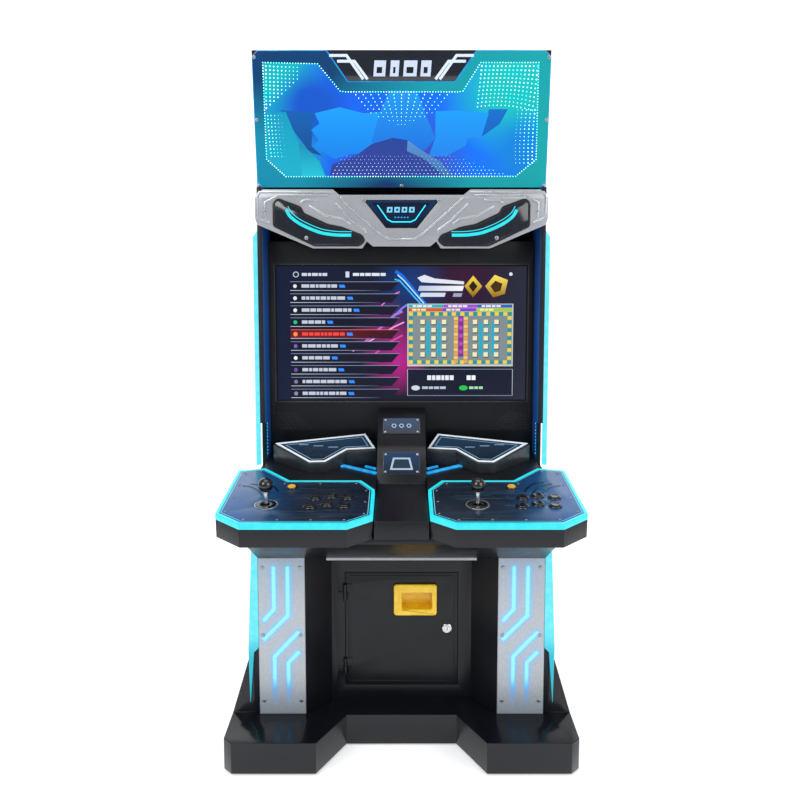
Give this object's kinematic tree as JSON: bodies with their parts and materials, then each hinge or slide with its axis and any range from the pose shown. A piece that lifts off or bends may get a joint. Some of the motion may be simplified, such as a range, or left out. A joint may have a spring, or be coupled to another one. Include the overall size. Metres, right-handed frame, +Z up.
{
  "type": "two-player arcade video cabinet",
  "caption": "Stand-up arcade cabinet with a screen, two joystick and button panels, a lit header and edge lights, and a coin door between its legs.",
  "frame": {"origin": "on the floor, under the middle of the cabinet's bounding box", "axes": "+X to the right seen from the players, +Y to the back, +Z up"},
  "size_m": [0.872, 0.8, 1.782],
  "materials": {
    "body_black": "satin powder coat",
    "side_black": "laminated board, satin",
    "plinth_black": "semi-gloss paint",
    "steel": "zinc plated",
    "foot_rubber": "matt",
    "silver_plate": "satin silver with printed lines",
    "silver_shell": "satin silver paint",
    "light_cyan": "lit acrylic",
    "panel_print": "printed film, satin",
    "button_black": "gloss moulded",
    "button_yellow": "gloss moulded",
    "cup_yellow": "moulded",
    "switch_plastic": "moulded",
    "screen_glass": "polished",
    "window_dark": "smoked acrylic",
    "marquee_blue": "printed acrylic, lit",
    "chassis": "moulded",
    "speaker_black": "moulded",
    "circuit_case": "bare"
  },
  "bodies": {
    "cabinet": {"base_plinth": "plinth_black", "base_runners": "steel", "levelling_feet": "foot_rubber", "side_panel_left": "side_black", "side_panel_right": "side_black", "rear_panel": "side_black", "lower_front": "body_black", "leg_covers": "silver_plate", "apron": "side_black", "control_boxes": "body_black", "control_plates": "panel_print", "control_lights": "light_cyan", "button_housings": "button_black", "microswitches": "switch_plastic", "joystick_housings": "switch_plastic", "console_tower": "body_black", "console_plates": "panel_print", "deck_panels": "body_black", "card_holders": "body_black", "card_trims": "silver_shell", "screen_surround": "body_black", "screen_glass": "screen_glass", "monitor": "chassis", "speaker_panel": "silver_shell", "speaker_windows": "window_dark", "speakers": "speaker_black", "header_box": "body_black", "marquee_panel": "marquee_blue", "name_plate": "button_black", "side_lights": "light_cyan", "power_inlet": "switch_plastic", "game_board": "circuit_case", "power_supply": "circuit_case", "cash_box": "steel", "screws": "steel"},
    "coin_door": {"coin_door": "body_black", "coin_return_cup": "cup_yellow", "door_lock": "steel"},
    "lock_plug": {"door_lock_plug": "steel"},
    "rear_door": {"rear_door": "body_black"},
    "rear_latch": {"rear_latch": "steel"},
    "power_switch": {"power_rocker": "button_black"},
    "stick_ring_left": {"joystick_ring_left": "switch_plastic"},
    "stick_left": {"joystick_lever_left": "button_black"},
    "start_button_left": {"start_button_left": "button_yellow"},
    "button_left_back_1": {"button_left_back_1": "button_black"},
    "button_left_back_2": {"button_left_back_2": "button_black"},
    "button_left_back_3": {"button_left_back_3": "button_black"},
    "button_left_front_1": {"button_left_front_1": "button_black"},
    "button_left_front_2": {"button_left_front_2": "button_black"},
    "button_left_front_3": {"button_left_front_3": "button_black"},
    "stick_ring_right": {"joystick_ring_right": "switch_plastic"},
    "stick_right": {"joystick_lever_right": "button_black"},
    "start_button_right": {"start_button_right": "button_yellow"},
    "button_right_back_1": {"button_right_back_1": "button_black"},
    "button_right_back_2": {"button_right_back_2": "button_black"},
    "button_right_back_3": {"button_right_back_3": "button_black"},
    "button_right_front_1": {"button_right_front_1": "button_black"},
    "button_right_front_2": {"button_right_front_2": "button_black"},
    "button_right_front_3": {"button_right_front_3": "button_black"}
  },
  "joints": [
    {"name": "coin_door_hinge", "type": "hinge", "parent": "cabinet", "child": "coin_door", "pos_m": [-0.14925, -0.09, 0.274], "axis": [0, 0, -1], "range_deg": [0, 110]},
    {"name": "door_lock_turn", "type": "hinge", "parent": "coin_door", "child": "lock_plug", "pos_m": [0.121, -0.085, 0.275], "axis": [0, 1, 0], "range_deg": [0, 90]},
    {"name": "rear_door_hinge", "type": "hinge", "parent": "cabinet", "child": "rear_door", "pos_m": [0.22925, 0.39, 0.51], "axis": [0, 0, -1], "range_deg": [0, 110]},
    {"name": "rear_latch_turn", "type": "hinge", "parent": "rear_door", "child": "rear_latch", "pos_m": [-0.2, 0.385, 0.51], "axis": [0, -1, 0], "range_deg": [0, 90]},
    {"name": "power_rocker_tilt", "type": "hinge", "parent": "cabinet", "child": "power_switch", "pos_m": [-0.3, 0.385, 0.208], "axis": [1, 0, 0], "range_deg": [0, 16]},
    {"name": "joystick_left_push_pull", "type": "hinge", "parent": "cabinet", "child": "stick_ring_left", "pos_m": [-0.32, -0.29458, 0.65681], "axis": [1, 0, 0], "range_deg": [-9, 9], "stiffness_Nm_per_rad": 0.6},
    {"name": "joystick_left_side_to_side", "type": "hinge", "parent": "stick_ring_left", "child": "stick_left", "pos_m": [-0.32, -0.29458, 0.65681], "axis": [0, 0.9925, 0.1219], "range_deg": [-9, 9], "stiffness_Nm_per_rad": 0.6},
    {"name": "start_button_left_press", "type": "slide", "parent": "cabinet", "child": "start_button_left", "axis": [0, 0.1219, -0.9925], "range_m": [0, 0.003], "stiffness_N_per_m": 300},
    {"name": "button_left_back_1_press", "type": "slide", "parent": "cabinet", "child": "button_left_back_1", "axis": [0, 0.1219, -0.9925], "range_m": [0, 0.003], "stiffness_N_per_m": 300},
    {"name": "button_left_back_2_press", "type": "slide", "parent": "cabinet", "child": "button_left_back_2", "axis": [0, 0.1219, -0.9925], "range_m": [0, 0.003], "stiffness_N_per_m": 300},
    {"name": "button_left_back_3_press", "type": "slide", "parent": "cabinet", "child": "button_left_back_3", "axis": [0, 0.1219, -0.9925], "range_m": [0, 0.003], "stiffness_N_per_m": 300},
    {"name": "button_left_front_1_press", "type": "slide", "parent": "cabinet", "child": "button_left_front_1", "axis": [0, 0.1219, -0.9925], "range_m": [0, 0.003], "stiffness_N_per_m": 300},
    {"name": "button_left_front_2_press", "type": "slide", "parent": "cabinet", "child": "button_left_front_2", "axis": [0, 0.1219, -0.9925], "range_m": [0, 0.003], "stiffness_N_per_m": 300},
    {"name": "button_left_front_3_press", "type": "slide", "parent": "cabinet", "child": "button_left_front_3", "axis": [0, 0.1219, -0.9925], "range_m": [0, 0.003], "stiffness_N_per_m": 300},
    {"name": "joystick_right_push_pull", "type": "hinge", "parent": "cabinet", "child": "stick_ring_right", "pos_m": [0.18, -0.29458, 0.65681], "axis": [1, 0, 0], "range_deg": [-9, 9], "stiffness_Nm_per_rad": 0.6},
    {"name": "joystick_right_side_to_side", "type": "hinge", "parent": "stick_ring_right", "child": "stick_right", "pos_m": [0.18, -0.29458, 0.65681], "axis": [0, 0.9925, 0.1219], "range_deg": [-9, 9], "stiffness_Nm_per_rad": 0.6},
    {"name": "start_button_right_press", "type": "slide", "parent": "cabinet", "child": "start_button_right", "axis": [0, 0.1219, -0.9925], "range_m": [0, 0.003], "stiffness_N_per_m": 300},
    {"name": "button_right_back_1_press", "type": "slide", "parent": "cabinet", "child": "button_right_back_1", "axis": [0, 0.1219, -0.9925], "range_m": [0, 0.003], "stiffness_N_per_m": 300},
    {"name": "button_right_back_2_press", "type": "slide", "parent": "cabinet", "child": "button_right_back_2", "axis": [0, 0.1219, -0.9925], "range_m": [0, 0.003], "stiffness_N_per_m": 300},
    {"name": "button_right_back_3_press", "type": "slide", "parent": "cabinet", "child": "button_right_back_3", "axis": [0, 0.1219, -0.9925], "range_m": [0, 0.003], "stiffness_N_per_m": 300},
    {"name": "button_right_front_1_press", "type": "slide", "parent": "cabinet", "child": "button_right_front_1", "axis": [0, 0.1219, -0.9925], "range_m": [0, 0.003], "stiffness_N_per_m": 300},
    {"name": "button_right_front_2_press", "type": "slide", "parent": "cabinet", "child": "button_right_front_2", "axis": [0, 0.1219, -0.9925], "range_m": [0, 0.003], "stiffness_N_per_m": 300},
    {"name": "button_right_front_3_press", "type": "slide", "parent": "cabinet", "child": "button_right_front_3", "axis": [0, 0.1219, -0.9925], "range_m": [0, 0.003], "stiffness_N_per_m": 300}
  ]
}
